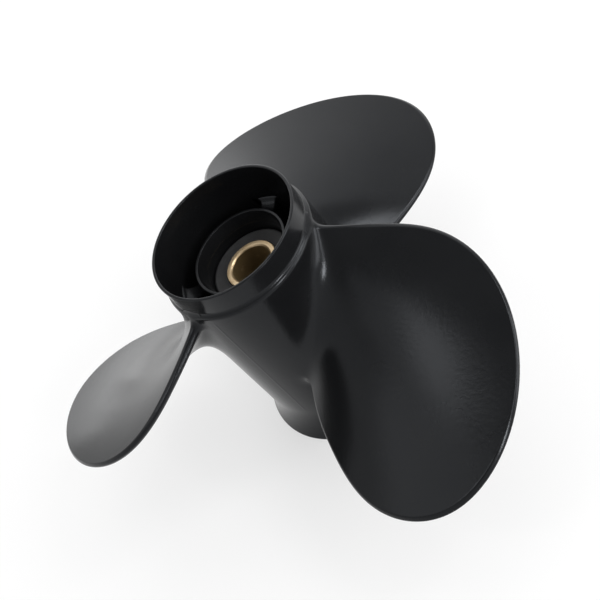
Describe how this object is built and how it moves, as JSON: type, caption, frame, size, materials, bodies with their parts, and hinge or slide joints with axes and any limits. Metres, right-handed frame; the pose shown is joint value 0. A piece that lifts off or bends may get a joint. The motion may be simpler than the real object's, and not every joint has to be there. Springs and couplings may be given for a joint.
{
  "type": "boat propeller",
  "caption": "Right-hand outboard propeller with broad raked blades on a through-exhaust barrel, and a rubber-cushioned splined sleeve for the shaft.",
  "frame": {"origin": "shaft axis at the forward thrust face of the splined sleeve", "axes": "+Z along the shaft axis, forward to the gearcase; +X through the root of the first blade"},
  "size_m": [0.1994, 0.215, 0.103],
  "materials": {
    "casting": "satin black paint over cast aluminium",
    "bush": "matte moulded rubber",
    "sleeve": "turned"
  },
  "bodies": {
    "sleeve": {"splined_sleeve": "sleeve"},
    "cushion": {"rubber_bush": "bush"},
    "casting": {"outer_hub": "casting", "diffuser_flare": "casting", "inner_hub": "casting", "rib_1": "casting", "rib_2": "casting", "rib_3": "casting", "blade_1": "casting", "blade_2": "casting", "blade_3": "casting"}
  },
  "joints": [
    {"name": "hub_windup", "type": "hinge", "parent": "sleeve", "child": "cushion", "pos_m": [0, 0, 0], "axis": [0, 0, 1], "range_deg": [-8, 8], "stiffness_Nm_per_rad": 400},
    {"name": "hub_slip", "type": "hinge", "parent": "cushion", "child": "casting", "pos_m": [0, 0, 0], "axis": [0, 0, 1], "continuous": true}
  ]
}
